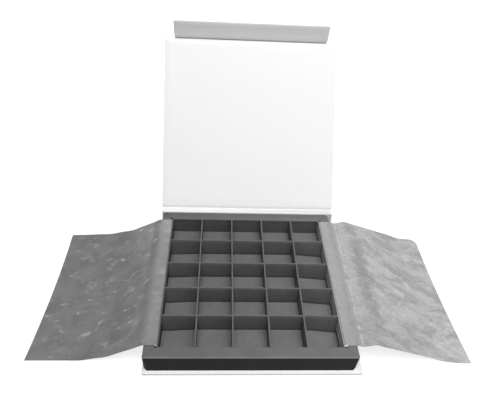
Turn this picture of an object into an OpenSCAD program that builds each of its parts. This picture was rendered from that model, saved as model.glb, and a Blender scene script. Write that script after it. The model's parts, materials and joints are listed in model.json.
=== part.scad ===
// Specimen box for small minerals: a paper-covered book-style case with a closure flap,
// a folded card tray with hollow walls, a grid of half-lapped slats that makes the cells,
// and two soft cover sheets that fold over the cells from the left and right rims.
// All sizes are millimetres. The origin is the middle of the case's underside, with +X to the
// right, +Y to the spine and +Z up. The lid and flap are drawn shut and turned to their rest angles.

/* [Cells] */
// Cells across the box, and as many from front to back
cells = 5; // [2:1:5]
// Distance from the middle of one slat to the middle of the next
cell_pitch = 32; // [30:0.5:36]
// Thickness of a slat
slat_t = 1.3; // [1:0.1:1.8]
// Play on each side of a slat in the half-lap slot it drops into
slot_play = 0.1; // [0.05:0.05:0.2]

/* [Tray] */
// Height of the tray from its underside to the rim
tray_h = 19.15; // [16:0.05:40]
// Width of the flat rim on top of each hollow wall
rim_w = 10.5; // [7:0.5:16]
// Thickness of the folded card
card_t = 0.7; // [0.5:0.1:1]
// How much further in the outside of a side wall stands at its foot than at its rim
side_draft = 1.2; // [0:0.1:1.5]
// How much further in a chamfered corner stands at its foot than at its rim
corner_draft = 1.4; // [0:0.1:1.8]
// Radius of the folds along the rim
fold_r = 0.9; // [0.7:0.1:1.5]
// Chamfer of the two corners beside the spine
back_chamfer = 3; // [1:0.5:4]
// Chamfer of the two front corners
front_chamfer = 0.8; // [0.5:0.1:2]
// Thickness of the cards that line the left and right walls and hold the sheets' tabs
side_card_t = 0.7; // [0.4:0.1:1]
// Side of the square notch at each inner corner of the rim
corner_notch = 1.8; // [1:0.1:3]
// Gap of the mitred seams in the rim
seam_gap = 0.1; // [0.05:0.05:0.3]

/* [Case] */
// Width of the case
case_w = 188.8; // [188:0.1:194]
// Depth of the case from its front lip to the outside of the spine
case_d = 188; // [188:0.1:190]
// How far the tray is glued to the left of the middle of the case
tray_shift = 2.1; // [0:0.1:2.2]
// Thickness of the greyboard in every panel
board_t = 2.1; // [1.8:0.1:2.4]
// Thickness of the white paper round the boards
wrap_t = 0.2; // [0.1:0.05:0.3]
// Thickness of the white paper that lines the inner faces
liner_t = 0.15; // [0.1:0.05:0.25]
// How far the outer paper is turned in over a board's inner face
turn_in = 14; // [10:1:18]
// Margin between a panel's edge and its lining
liner_margin = 2.5; // [1.5:0.5:4]
// Radius of the panels' corners
panel_r = 1.5; // [1:0.1:3]

/* [Lid] */
// Angle of the lid at rest, from shut
lid_open = 127.1; // [100:0.1:140]
// Space between the rim and the shut lid, where the folded sheets lie
lid_gap = 1.9; // [1.9:0.1:4]
// Height of the hinge line above the rim
hinge_rise = 1.2; // [1:0.1:1.5]
// Width of the paper hinge between the spine and the lid
hinge_groove = 4.6; // [4:0.1:8]

/* [Flap] */
// Width of the closure flap
flap_w = 168; // [120:1:176]
// Angle of the flap at rest, from flat with the lid
flap_bend = 50; // [20:1:80]
// Width of the paper hinge between the lid and the flap
flap_groove = 3; // [3:0.1:5]
// Distance between the two pairs of closure magnets
magnet_spacing = 120; // [60:5:140]
// Diameter of a magnet
magnet_d = 8; // [6:0.5:10]
// Thickness of a magnet
magnet_t = 1.5; // [1:0.1:1.6]

/* [Cover sheets] */
// Length of a sheet from front to back
sheet_l = 158; // [120:1:158]
// Thickness of a sheet
sheet_t = 0.5; // [0.4:0.05:0.5]
// Depth of the tab that glues a sheet to the tray's inner wall
tab_h = 12; // [6:1:16]
// Slope of the left sheet just outside the rim
left_steep = 27; // [20:1:30]
// Slope of the left sheet near the table
left_shallow = 13.5; // [8:0.5:16]
// Length of the left sheet's steep part
left_steep_l = 36; // [30:1:38]
// Length of the left sheet's front edge that lies on the table
left_apron_l = 46; // [20:0.5:50]
// How much shorter the left sheet's back edge is there, since the sheet lies askew
left_apron_skew = 4.5; // [0:0.5:8]
// Slope of the right sheet where it dips just outside the rim
right_dip = 18; // [8:0.5:20]
// Length of that dip
right_dip_l = 5.2; // [4:0.1:7]
// Slope up from the dip to the crest of the right sheet
right_rise = 11; // [4:0.5:12]
// Length of that rise
right_rise_l = 11.3; // [8:0.1:14]
// Slope of the right sheet down to the table
right_slope = 19.2; // [15:0.1:24]
// Length of the right sheet's front edge that lies on the table
right_apron_l = 25.1; // [18:0.1:30]
// How much shorter the right sheet's back edge is there, since the sheet lies askew
right_apron_skew = 5; // [0:0.5:8]
// Radius of the right sheet's outer corner near the spine
right_corner_r = 13; // [2:1:16]
// Radius of the left sheet's outer corner near the spine
left_corner_r = 2; // [1:1:10]
// How far the outer corners of a sheet lie towards the front
apron_slip = 3; // [0:0.5:4]
// How far the outer edge of a sheet bows in at its middle
apron_bow = 2.2; // [0:0.1:4]

/* [Hidden] */

white = [0.95, 0.95, 0.94];
greyboard = [0.55, 0.53, 0.50];
dark_card = [0.16, 0.16, 0.165];
suede_left = [0.42, 0.42, 0.42];
suede_right = [0.55, 0.55, 0.55];
steel = [0.7, 0.7, 0.72];

// Panels: outer paper, board, turned-in paper and lining, from the outside in
turned_t = wrap_t + board_t + wrap_t;
panel_t = turned_t + liner_t;
case_front = -case_d / 2;
case_back = case_d / 2;
spine_inside = case_back - panel_t;
glue_line = 0.05;
base_back = spine_inside - glue_line;
spine_turn = 5;
flap_turn = 6;

// Tray
grid_play = 0.4;
slat_sink = 0.1;
inner_w = cells * cell_pitch + 2 * sheet_t;
inner_d = cells * cell_pitch + 2 * sheet_t + grid_play;
tray_w = inner_w + 2 * rim_w;
tray_d = inner_d + 2 * rim_w;
tray_x = -tray_shift;
tray_y = spine_inside - tray_d / 2;
tray_foot = panel_t;
floor_top = tray_foot + card_t;
rim_z = tray_foot + tray_h;
slat_top = rim_z - slat_sink;
slat_h = slat_top - floor_top;
slot_w = slat_t + 2 * slot_play;
slot_h = slat_h / 2 + slot_play;
cell_reach = inner_w / 2 - sheet_t - side_card_t;
corner_lean = atan(corner_draft / tray_h);
corner_plate_t = 2 * card_t + side_draft;

// Lid and flap, shut
hinge_y = case_back;
hinge_z = rim_z + hinge_rise;
lid_inside = rim_z + lid_gap;
lid_top = lid_inside + panel_t;
flap_axis_y = case_front;
flap_axis_z = lid_top;
lid_front_gap = 0.5;
spine_clear = 0.3;
flap_clear = 0.4;
lid_l = case_d - hinge_groove - lid_front_gap;
flap_foot = panel_t + flap_clear;
flap_l = flap_axis_z - flap_groove - flap_foot;
spine_top = hinge_z - spine_clear;
leaf_t = wrap_t + liner_t;
leaf_play = 0.25;
magnet_z = (flap_foot + flap_axis_z - flap_groove) / 2;
magnet_play = 0.05;

// Cover sheets: the right one lies on the left one when both are folded over the cells, as its
// rim part then rises a little from the fold line
fold_x = inner_w / 2 - sheet_t / 2;
sheet_clear = 0.25;
sheet_setback = 0.85;
rim_overhang = 0.75;
bend_play = 0.2;
table_clear = 0.1;
fold_z = rim_z + sheet_clear + sheet_t / 2;
sheet_y = tray_y - sheet_setback;
rim_part_l = rim_w + rim_overhang;
sheet_drop = fold_z - sheet_t / 2 - table_clear;
left_shallow_l = (sheet_drop - left_steep_l * sin(left_steep)) / sin(left_shallow);
crest_rise = right_rise_l * sin(right_rise) - right_dip_l * sin(right_dip);
right_slope_l = (sheet_drop + crest_rise) / sin(right_slope);

// Points of an arc round a centre
function arc(centre, r, from, to, steps = 6) =
    [for (i = [0:steps]) let (a = from + (to - from) * i / steps) centre + r * [cos(a), sin(a)]];

// Outline of a panel from y0 to y1 with round corners
function panel_outline(w, y0, y1, r) = concat(
    arc([w / 2 - r, y0 + r], r, -90, 0),
    arc([w / 2 - r, y1 - r], r, 0, 90),
    arc([-w / 2 + r, y1 - r], r, 90, 180),
    arc([-w / 2 + r, y0 + r], r, 180, 270)
);

// A panel lies in its own frame with its outside at z = 0 and its inside up
module panel_board(w, y0, y1) {
    translate([0, 0, wrap_t])
        linear_extrude(board_t)
            polygon(panel_outline(w - 2 * wrap_t, y0 + wrap_t, y1 - wrap_t, panel_r - wrap_t));
}

module panel_wrap(w, y0, y1, turn) {
    difference() {
        linear_extrude(turned_t)
            polygon(panel_outline(w, y0, y1, panel_r));
        translate([0, 0, wrap_t])
            linear_extrude(board_t)
                polygon(panel_outline(w - 2 * wrap_t, y0 + wrap_t, y1 - wrap_t, panel_r - wrap_t));
        translate([0, 0, wrap_t + board_t / 2])
            linear_extrude(turned_t)
                polygon(panel_outline(w - 2 * turn, y0 + turn, y1 - turn, panel_r));
    }
}

// The lining lies on the turned-in paper and fills the window that the turn-in leaves
module panel_liner(w, y0, y1, turn, margin) {
    translate([0, 0, turned_t])
        linear_extrude(liner_t)
            polygon(panel_outline(w - 2 * margin, y0 + margin, y1 - margin, panel_r));
    translate([0, 0, wrap_t + board_t])
        linear_extrude(wrap_t + liner_t / 2)
            polygon(panel_outline(w - 2 * turn, y0 + turn, y1 - turn, panel_r));
}

// Frames of the panels: each stands with its outside on the outside of the case
module spine_frame() {
    translate([0, case_back, 0]) rotate([90, 0, 0]) children();
}

module lid_rest() {
    translate([0, hinge_y, hinge_z])
        rotate([-lid_open, 0, 0])
            translate([0, -hinge_y, -hinge_z]) children();
}

module lid_frame() {
    lid_rest() translate([0, case_back, lid_top]) rotate([180, 0, 0]) children();
}

module flap_rest() {
    lid_rest()
        translate([0, flap_axis_y, flap_axis_z])
            rotate([flap_bend - 90, 0, 0])
                translate([0, -flap_axis_y, -flap_axis_z]) children();
}

module flap_frame() {
    flap_rest() translate([0, flap_axis_y, flap_axis_z]) rotate([-90, 0, 0]) children();
}

// Base of the case
module base_board() {
    color(greyboard) panel_board(case_w, case_front, base_back);
}

module base_wrap() {
    color(white) {
        panel_wrap(case_w, case_front, base_back, turn_in);
        translate([-case_w / 2, base_back - panel_r, 0])
            cube([case_w, case_back - base_back + panel_r, wrap_t]);
    }
}

module base_liner() {
    color(white) panel_liner(case_w, case_front, base_back, turn_in, liner_margin);
}

// Spine of the case, standing on the paper behind the tray
module spine_board() {
    color(greyboard) spine_frame() panel_board(case_w, wrap_t, spine_top);
}

module spine_wrap() {
    color(white) spine_frame() panel_wrap(case_w, wrap_t, spine_top, spine_turn);
}

module spine_liner() {
    color(white) spine_frame() panel_liner(case_w, wrap_t, spine_top, spine_turn, liner_margin / 2);
}

// Lid, with the paper leaf of its hinge sloping down from the outer face to the hinge line
module lid_board() {
    color(greyboard) lid_frame() panel_board(case_w, hinge_groove, hinge_groove + lid_l);
}

module lid_wrap() {
    drop = lid_top - hinge_z;
    color(white) lid_frame() {
        panel_wrap(case_w, hinge_groove, hinge_groove + lid_l, turn_in);
        translate([-case_w / 2, 0, 0])
            rotate([90, 0, 90])
                linear_extrude(case_w)
                    polygon([
                        [leaf_play, drop],
                        [leaf_play, drop - leaf_t],
                        [hinge_groove - wrap_t, 0],
                        [hinge_groove, 0],
                        [hinge_groove, 2 * leaf_t],
                        [hinge_groove - wrap_t, 2 * leaf_t]
                    ]);
    }
}

module lid_liner() {
    color(white) lid_frame()
        panel_liner(case_w, hinge_groove, hinge_groove + lid_l, turn_in, liner_margin);
}

// Closure flap, with its hinge leaf in the plane of the outer face
module magnet_places() {
    for (side = [-1, 1]) translate([side * magnet_spacing / 2, 0, 0]) children();
}

module flap_board() {
    hole_h = 2 * (magnet_t + magnet_play);
    hole_d = magnet_d + 2 * magnet_play;
    color(greyboard) flap_frame() difference() {
        panel_board(flap_w, flap_groove, flap_groove + flap_l);
        magnet_places()
            translate([0, flap_axis_z - magnet_z, wrap_t])
                cylinder(h = hole_h, d = hole_d, center = true, $fn = 48);
    }
}

module flap_wrap() {
    color(white) flap_frame() {
        panel_wrap(flap_w, flap_groove, flap_groove + flap_l, flap_turn);
        translate([-flap_w / 2, leaf_play, 0])
            cube([flap_w, flap_groove + panel_r - leaf_play, wrap_t]);
    }
}

module flap_liner() {
    color(white) flap_frame()
        panel_liner(flap_w, flap_groove, flap_groove + flap_l, flap_turn, liner_margin / 2);
}

module flap_magnet(side) {
    color(steel) flap_frame()
        translate([side * magnet_spacing / 2, flap_axis_z - magnet_z, wrap_t])
            cylinder(h = magnet_t, d = magnet_d, $fn = 48);
}

// A tray magnet is glued inside the hollow front wall, flat on its outer card
module tray_magnet(side) {
    inside = tray_y - tray_d / 2 + card_t;
    color(steel)
        translate([side * magnet_spacing / 2, inside + glue_line, magnet_z])
            rotate([-90, 0, 0])
                cylinder(h = magnet_t, d = magnet_d, $fn = 48);
}

// Tray: one hollow wall is a card folded down outside, over the rim and down inside
function wall_profile(draft) = concat(
    [[draft, tray_foot]],
    arc([fold_r, rim_z - fold_r], fold_r, 180, 90, 4),
    arc([rim_w - fold_r, rim_z - fold_r], fold_r, 90, 0, 4),
    [
        [rim_w, floor_top],
        [rim_w - card_t, floor_top],
        [rim_w - card_t, rim_z - card_t],
        [card_t, rim_z - card_t],
        [draft + card_t, tray_foot]
    ]
);

module tray_outline() {
    x = tray_w / 2;
    y = tray_d / 2;
    translate([tray_x, tray_y])
        polygon([
            [-x + front_chamfer, -y], [x - front_chamfer, -y], [x, -y + front_chamfer],
            [x, y - back_chamfer], [x - back_chamfer, y], [-x + back_chamfer, y],
            [-x, y - back_chamfer], [-x, -y + front_chamfer]
        ]);
}

// Frame of a chamfered corner: the origin is on its rim, +y points out and z runs up the lean
module corner_frame(x_side, y_side, chamfer) {
    x = tray_x + x_side * (tray_w - chamfer) / 2;
    y = tray_y + y_side * (tray_d - chamfer) / 2;
    translate([x, y, rim_z])
        rotate([0, 0, -45 * x_side * y_side + (y_side > 0 ? 0 : 180)])
            rotate([-corner_lean, 0, 0]) children();
}

// Card that closes the hollow walls where a corner is chamfered
module corner_plate(x_side, y_side, chamfer) {
    corner_frame(x_side, y_side, chamfer)
        translate([-2 * chamfer, -corner_plate_t, -tray_h])
            cube([4 * chamfer, corner_plate_t, tray_h - card_t / 2]);
}

// Everything outside the plane of a chamfered corner
module corner_cut(x_side, y_side, chamfer) {
    corner_frame(x_side, y_side, chamfer)
        translate([-rim_w, 0, -2 * tray_h]) cube([2 * rim_w, rim_w, 3 * tray_h]);
}

module wall(turn, length, reach, draft) {
    end = length / 2 - seam_gap;
    margin = 1;
    difference() {
        intersection() {
            union() {
                translate([tray_x, tray_y, 0]) rotate([0, 0, turn]) translate([-length / 2, -reach, 0])
                    rotate([90, 0, 90])
                        linear_extrude(length)
                            polygon(wall_profile(draft));
                for (side = [-1, 1]) {
                    corner_plate(side, 1, back_chamfer);
                    corner_plate(side, -1, front_chamfer);
                }
            }
            translate([tray_x, tray_y, tray_foot]) rotate([0, 0, turn]) translate([0, -reach, 0])
                linear_extrude(tray_h)
                    polygon([
                        [-end - margin, -margin], [end + margin, -margin],
                        [end - rim_w, rim_w], [rim_w - end, rim_w]
                    ]);
            linear_extrude(2 * rim_z) difference() {
                tray_outline();
                for (x = [-1, 1], y = [-1, 1])
                    translate([tray_x + x * inner_w / 2, tray_y + y * inner_d / 2])
                        square(corner_notch, center = true);
            }
        }
        for (side = [-1, 1]) {
            corner_cut(side, 1, back_chamfer);
            corner_cut(side, -1, front_chamfer);
        }
    }
}

module tray_front_wall() {
    color(dark_card) wall(0, tray_w, tray_d / 2, 0);
}

module tray_right_wall() {
    color(dark_card) wall(90, tray_d, tray_w / 2, side_draft);
}

module tray_back_wall() {
    color(dark_card) wall(180, tray_w, tray_d / 2, 0);
}

module tray_left_wall() {
    color(dark_card) wall(270, tray_d, tray_w / 2, side_draft);
}

module tray_floor() {
    inset = 2 * corner_plate_t;
    color(dark_card)
        translate([tray_x, tray_y, tray_foot])
            linear_extrude(card_t)
                difference() {
                    square([tray_w - inset, tray_d - inset], center = true);
                    for (x = [-1, 1], y = [-1, 1])
                        translate([x * tray_w / 2, y * tray_d / 2])
                            rotate(45)
                                square(2 * (back_chamfer + corner_plate_t + corner_draft), center = true);
                }
}

// Slats: the long ones are slotted from above and the cross ones from below
module slat_blank(length, slot_from) {
    difference() {
        translate([-length / 2, 0]) square([length, slat_h]);
        for (i = [1:cells - 1])
            translate([(i - cells / 2) * cell_pitch - slot_w / 2, slot_from])
                square([slot_w, slot_h]);
    }
}

module long_slat(i) {
    color(dark_card)
        translate([tray_x + (i - cells / 2) * cell_pitch - slat_t / 2, tray_y, floor_top])
            rotate([90, 0, 90])
                linear_extrude(slat_t)
                    slat_blank(inner_d, slat_h - slot_h);
}

module cross_slat(i) {
    color(dark_card)
        translate([tray_x, tray_y + (i - cells / 2) * cell_pitch + slat_t / 2, floor_top])
            rotate([90, 0, 0])
                linear_extrude(slat_t)
                    slat_blank(2 * cell_reach, 0);
}

// A card beside the outer cells, with a sheet's tab between it and the tray's wall
module side_card(side) {
    color(dark_card)
        translate([tray_x + side * (cell_reach + side_card_t / 2), tray_y, (floor_top + slat_top) / 2])
            cube([side_card_t, inner_d, slat_h], center = true);
}

// Cover sheets: a part of a sheet is a flat strip that starts at a bend and slopes down from it
module strip(start, slope, length) {
    translate([start.x, sheet_y, start.y])
        rotate([0, slope, 0])
            translate([length / 2, 0, 0])
                cube([length - 2 * bend_play, sheet_l, sheet_t], center = true);
}

function bend_after(start, slope, length) = start + length * [cos(slope), -sin(slope)];

// Frames of the sheets: the origin is the fold line and x points out over the rim
module left_frame() {
    translate([tray_x - fold_x, 0, fold_z]) mirror([1, 0, 0]) children();
}

module right_frame() {
    translate([tray_x + fold_x, 0, fold_z]) children();
}

// The part of a sheet that lies on the table, cut a little askew, with a round corner at the back
// and an outer edge that bows in
module apron(start, length, skew, corner_r, front_slip) {
    x0 = start.x + bend_play;
    x1 = start.x + length;
    x2 = x1 - skew;
    y0 = sheet_y - sheet_l / 2;
    y1 = sheet_y + sheet_l / 2;
    edge_from = [x1, y0 - front_slip];
    edge_to = [x2, y1 - apron_slip - corner_r];
    translate([0, 0, start.y - sheet_t / 2])
        linear_extrude(sheet_t)
            polygon(concat(
                [[x0, y0]],
                [for (i = [0:10]) let (t = i / 10)
                    edge_from + t * (edge_to - edge_from) - [4 * apron_bow * t * (1 - t), 0]],
                arc(edge_to - [corner_r, 0], corner_r, 10, 90, 7),
                [[x0, y1]]
            ));
}

left_bend_1 = [rim_part_l, 0];
left_bend_2 = bend_after(left_bend_1, left_steep, left_steep_l);
left_bend_3 = bend_after(left_bend_2, left_shallow, left_shallow_l);
right_bend_1 = [rim_part_l, 0];
right_bend_2 = bend_after(right_bend_1, right_dip, right_dip_l);
right_bend_3 = bend_after(right_bend_2, -right_rise, right_rise_l);
right_bend_4 = bend_after(right_bend_3, right_slope, right_slope_l);

// A sheet's tab is glued to the tray's inner wall, behind the side card, under the fold line
module sheet_tab() {
    translate([-sheet_t / 2, sheet_y - sheet_l / 2, rim_z - fold_z - tab_h])
        cube([sheet_t, sheet_l, tab_h]);
}

module left_sheet_tab() {
    color(suede_left) left_frame() sheet_tab();
}

module left_sheet_rim() {
    color(suede_left) left_frame() strip([0, 0], 0, rim_part_l);
}

module left_sheet_steep() {
    color(suede_left) left_frame() strip(left_bend_1, left_steep, left_steep_l);
}

module left_sheet_shallow() {
    color(suede_left) left_frame() strip(left_bend_2, left_shallow, left_shallow_l);
}

module left_sheet_apron() {
    color(suede_left) left_frame() apron(left_bend_3, left_apron_l, left_apron_skew, left_corner_r, 0);
}

module right_sheet_tab() {
    color(suede_right) right_frame() sheet_tab();
}

module right_sheet_rim() {
    color(suede_right) right_frame() strip([0, 0], 0, rim_part_l);
}

module right_sheet_dip() {
    color(suede_right) right_frame() strip(right_bend_1, right_dip, right_dip_l);
}

module right_sheet_rise() {
    color(suede_right) right_frame() strip(right_bend_2, -right_rise, right_rise_l);
}

module right_sheet_slope() {
    color(suede_right) right_frame() strip(right_bend_3, right_slope, right_slope_l);
}

module right_sheet_apron() {
    color(suede_right) right_frame()
        apron(right_bend_4, right_apron_l, right_apron_skew, right_corner_r, apron_slip);
}

base_board();
base_wrap();
base_liner();
spine_board();
spine_wrap();
spine_liner();
lid_board();
lid_wrap();
lid_liner();
flap_board();
flap_wrap();
flap_liner();
flap_magnet(-1);  // flap_magnet_left
flap_magnet(1);  // flap_magnet_right
tray_magnet(-1);  // tray_magnet_left
tray_magnet(1);  // tray_magnet_right
tray_floor();
tray_front_wall();
tray_back_wall();
tray_left_wall();
tray_right_wall();
long_slat(1);  // long_slat_1
long_slat(2);  // long_slat_2
long_slat(3);  // long_slat_3
long_slat(4);  // long_slat_4
cross_slat(1);  // cross_slat_1
cross_slat(2);  // cross_slat_2
cross_slat(3);  // cross_slat_3
cross_slat(4);  // cross_slat_4
side_card(-1);  // left_side_card
side_card(1);  // right_side_card
left_sheet_tab();
left_sheet_rim();
left_sheet_steep();
left_sheet_shallow();
left_sheet_apron();
right_sheet_tab();
right_sheet_rim();
right_sheet_dip();
right_sheet_rise();
right_sheet_slope();
right_sheet_apron();
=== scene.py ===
import json
import math

import bmesh
import bpy
import numpy as np
from mathutils import Matrix, Vector


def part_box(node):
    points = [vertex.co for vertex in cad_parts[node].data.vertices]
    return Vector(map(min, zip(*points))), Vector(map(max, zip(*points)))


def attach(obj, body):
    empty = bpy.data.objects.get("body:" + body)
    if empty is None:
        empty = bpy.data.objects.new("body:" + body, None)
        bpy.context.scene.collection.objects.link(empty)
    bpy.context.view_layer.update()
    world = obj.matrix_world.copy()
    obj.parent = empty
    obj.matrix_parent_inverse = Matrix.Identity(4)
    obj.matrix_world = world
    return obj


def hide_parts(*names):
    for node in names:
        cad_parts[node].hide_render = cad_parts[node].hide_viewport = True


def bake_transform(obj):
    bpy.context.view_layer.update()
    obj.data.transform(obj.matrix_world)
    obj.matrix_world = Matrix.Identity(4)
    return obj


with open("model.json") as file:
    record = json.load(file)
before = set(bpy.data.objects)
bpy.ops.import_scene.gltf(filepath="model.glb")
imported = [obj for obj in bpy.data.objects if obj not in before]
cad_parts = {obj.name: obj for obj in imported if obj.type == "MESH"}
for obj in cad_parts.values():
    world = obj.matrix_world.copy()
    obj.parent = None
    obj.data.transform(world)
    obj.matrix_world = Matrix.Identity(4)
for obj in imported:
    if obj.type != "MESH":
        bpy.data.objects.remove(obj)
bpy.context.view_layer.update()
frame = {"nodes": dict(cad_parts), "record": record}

MM = 0.001

# Sizes in millimetres, as in the part's source: the case,
CASE_W, CASE_D = 188.8, 188.0
FRONT, BACK = -CASE_D / 2, CASE_D / 2
WRAP_T, BOARD_T, LINER_T = 0.2, 2.1, 0.15
TURNED_T = 2 * WRAP_T + BOARD_T
PANEL_T = TURNED_T + LINER_T
PANEL_R = 1.5
BASE_BACK = BACK - PANEL_T - 0.05
TURN_IN, SPINE_TURN, FLAP_TURN = 14.0, 5.0, 6.0
MARGIN = 2.5
# the tray and its slats,
RIM_Z = PANEL_T + 19.15
FLOOR_Z = PANEL_T
RIM_W = 10.5
INNER_W, INNER_D = 161.0, 161.4
TRAY_X, TRAY_Y = -2.1, BACK - PANEL_T - (INNER_D + 2 * RIM_W) / 2
CELL_PITCH = 32.0
SLAT_T, SLOT_PLAY = 1.3, 0.1
SLOT_W = SLAT_T + 2 * SLOT_PLAY
# the hinges and the panels beyond them,
HINGE_Z = RIM_Z + 1.2
LID_TOP = RIM_Z + 1.9 + PANEL_T
HINGE_GROOVE = 4.6
LID_L = CASE_D - HINGE_GROOVE - 0.5
LID_OPEN, FLAP_BEND = 127.1, 50.0
SPINE_TOP = HINGE_Z - 0.3
FLAP_W, FLAP_GROOVE = 168.0, 3.0
FLAP_L = LID_TOP - FLAP_GROOVE - PANEL_T - 0.4
# and the cover sheets
SHEET_L, SHEET_Y = 158.0, TRAY_Y - 0.85
SHEET_FRONT, SHEET_BACK = SHEET_Y - SHEET_L / 2, SHEET_Y + SHEET_L / 2
FOLD_X = INNER_W / 2 - 0.25
FOLD_Z = RIM_Z + 0.5
TAB_H = 12.0
RIM_PART = RIM_W + 0.75

# Sizes in millimetres that only this script has
PAPER_EDGE = 0.42
CARD_EDGE = 0.12
HINGE_PAPER_T, HINGE_LINING_T = 0.24, 0.16
HINGE_INSET, LINING_INSET = 0.35, 1.4
OFF_FACE = -0.02
FLOOR_RISE, FLOOR_LEAST, FLOOR_WAVE = 0.45, 0.16, 0.144
SLAT_LEAN, LEFT_WALL_LEAN, RIGHT_WALL_LEAN = 1.3, 1.6, 2.9
FRONT_FOLD_T, BACK_FOLD_T = 0.14, 0.2
SHEET_T, SHEET_STEP = 0.36, 1.25
TAB_T, STRIP_T = 0.34, 0.2

# Counts of points and rounds, and the angle in degrees from which an edge is sharp
CORNER_STEPS, RIBBON_CUTS, TAB_CUTS = 6, 24, 40
FLOOR_GRID, FLOOR_WAVES, SLAT_CUTS, LAP_ROWS = 84, 26, 61, 3
SHEET_COLS, BEND_ROUNDS = 97, 60
SHARP_ANGLE = 35


def move(x, y, z):
    return Matrix.Translation((x, y, z))


def turn_x(degrees):
    return Matrix.Rotation(math.radians(degrees), 4, "X")


# Frames of the panels: y runs along a panel from its hinge, and z from its outer to its inner face
SPINE_FRAME = move(0, BACK, 0) @ turn_x(90)
LID_REST = move(0, BACK, HINGE_Z) @ turn_x(-LID_OPEN) @ move(0, -BACK, -HINGE_Z)
LID_FRAME = LID_REST @ move(0, BACK, LID_TOP) @ turn_x(180)
FLAP_FRAME = LID_REST @ move(0, FRONT, LID_TOP) @ turn_x(FLAP_BEND - 90) @ turn_x(-90)


def in_frame(matrix, y, z):
    """The (y, z) of a point that is given in a panel's frame."""
    p = matrix @ Vector((0, y, z))
    return (p.y, p.z)


# Meshes

def smoothstep(t):
    t = np.clip(t, 0, 1)
    return t * t * (3 - 2 * t)


def shade(mesh, angle):
    """Smooth faces with sharp edges where two faces meet at more than the angle."""
    shape = bmesh.new()
    shape.from_mesh(mesh)
    bmesh.ops.recalc_face_normals(shape, faces=shape.faces)
    for face in shape.faces:
        face.smooth = True
    for edge in shape.edges:
        if len(edge.link_faces) == 2:
            edge.smooth = edge.calc_face_angle(0) < math.radians(angle)
    shape.to_mesh(mesh)
    shape.free()


def piece(name, points, faces, material, slot, frame_matrix=None, angle=SHARP_ANGLE, uv=None):
    """A mesh object from points in millimetres, in a panel's frame where one is given."""
    mesh = bpy.data.meshes.new(name)
    if frame_matrix is not None:
        points = [frame_matrix @ Vector(p) for p in points]
    mesh.from_pydata([tuple(c * MM for c in p) for p in points], [], faces)
    if uv is not None:
        layer = mesh.uv_layers.new(name="flat")
        for loop in mesh.loops:
            layer.data[loop.index].uv = uv[loop.vertex_index]
    shade(mesh, angle)
    mesh.materials.append(material)
    obj = bpy.data.objects.new(name, mesh)
    bpy.context.scene.collection.objects.link(obj)
    return obj


def stacked(rings):
    """A closed mesh through rings of (x, y, z) with equal counts, capped at both ends."""
    n = len(rings[0])
    points = [p for ring in rings for p in ring]
    faces = [[i * n + k, i * n + (k + 1) % n, (i + 1) * n + (k + 1) % n, (i + 1) * n + k]
             for i in range(len(rings) - 1) for k in range(n)]
    faces.append(list(range(n))[::-1])
    faces.append([(len(rings) - 1) * n + k for k in range(n)])
    return points, faces


def slab(rows, cols):
    """Faces of a closed slab from two grids of points, the first grid on top."""
    n = rows * cols
    faces = []
    for i in range(rows - 1):
        for j in range(cols - 1):
            a = i * cols + j
            faces.append([a, a + cols, a + cols + 1, a + 1])
            faces.append([n + a, n + a + 1, n + a + cols + 1, n + a + cols])
    rim = [i * cols for i in range(rows)] + [(rows - 1) * cols + j for j in range(1, cols)]
    rim += [i * cols + cols - 1 for i in range(rows - 2, -1, -1)] + [j for j in range(cols - 2, 0, -1)]
    for a, b in zip(rim, rim[1:] + rim[:1]):
        faces.append([a, b, n + b, n + a])
    return faces


def outline(w, y0, y1, inset):
    """Corners of a panel's rounded rectangle, the same number at every inset."""
    half, low, high, q = w / 2 - inset, y0 + inset, y1 - inset, max(PANEL_R - inset, 0.08)
    corners = ((half - q, low + q, -90), (half - q, high - q, 0),
               (q - half, high - q, 90), (q - half, low + q, 180))
    points = []
    for cx, cy, start in corners:
        for k in range(CORNER_STEPS + 1):
            a = math.radians(start + 90 * k / CORNER_STEPS)
            points.append((cx + q * math.cos(a), cy + q * math.sin(a)))
    return points


def panel_paper(name, w, y0, y1, steps, frame_matrix):
    """White paper over a panel, through an outline at each (inset, height)."""
    rings = [[(x, y, z) for x, y in outline(w, y0, y1, inset)] for inset, z in steps]
    return piece(name, *stacked(rings), WHITE, "white_paper", frame_matrix)


def cover(name, w, y0, y1, turn, frame_matrix):
    """The outer paper round a board, turned in over its inner face."""
    edge = PAPER_EDGE
    arc = [math.radians(90 * k / 4) for k in range(5)]
    steps = [(edge * (1 - math.sin(a)), edge * (1 - math.cos(a))) for a in arc]
    steps += [(edge * (1 - math.cos(a)), TURNED_T - edge * (1 - math.sin(a))) for a in arc]
    steps += [(turn - 0.2, TURNED_T), (turn, TURNED_T - 0.15)]
    return panel_paper(name, w, y0, y1, steps, frame_matrix)


def lining(name, w, y0, y1, turn, margin, frame_matrix):
    """The lining paper, pressed down a little where the turned-in paper below it ends."""
    face = TURNED_T + LINER_T
    steps = [(margin, TURNED_T - 0.05), (margin, TURNED_T + 0.09), (margin + 0.05, TURNED_T + 0.14),
             (margin + 0.12, face)]
    if turn == TURN_IN:
        # A low ridge beside the edge of the wide panels' lining
        steps += [(margin + 3.4, face), (margin + 3.9, TURNED_T + 0.19), (margin + 4.4, face)]
    steps += [(turn - 0.9, face), (turn - 0.3, TURNED_T + 0.13), (turn + 0.3, TURNED_T + 0.05),
              (turn + 0.9, TURNED_T + 0.03)]
    return panel_paper(name, w, y0, y1, steps, frame_matrix)


def soften(obj):
    """Slightly rounded edges."""
    soft = obj.modifiers.new("edges", "BEVEL")
    soft.width = CARD_EDGE * MM
    soft.segments = 2
    soft.limit_method = "ANGLE"
    soft.angle_limit = math.radians(SHARP_ANGLE)


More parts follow.
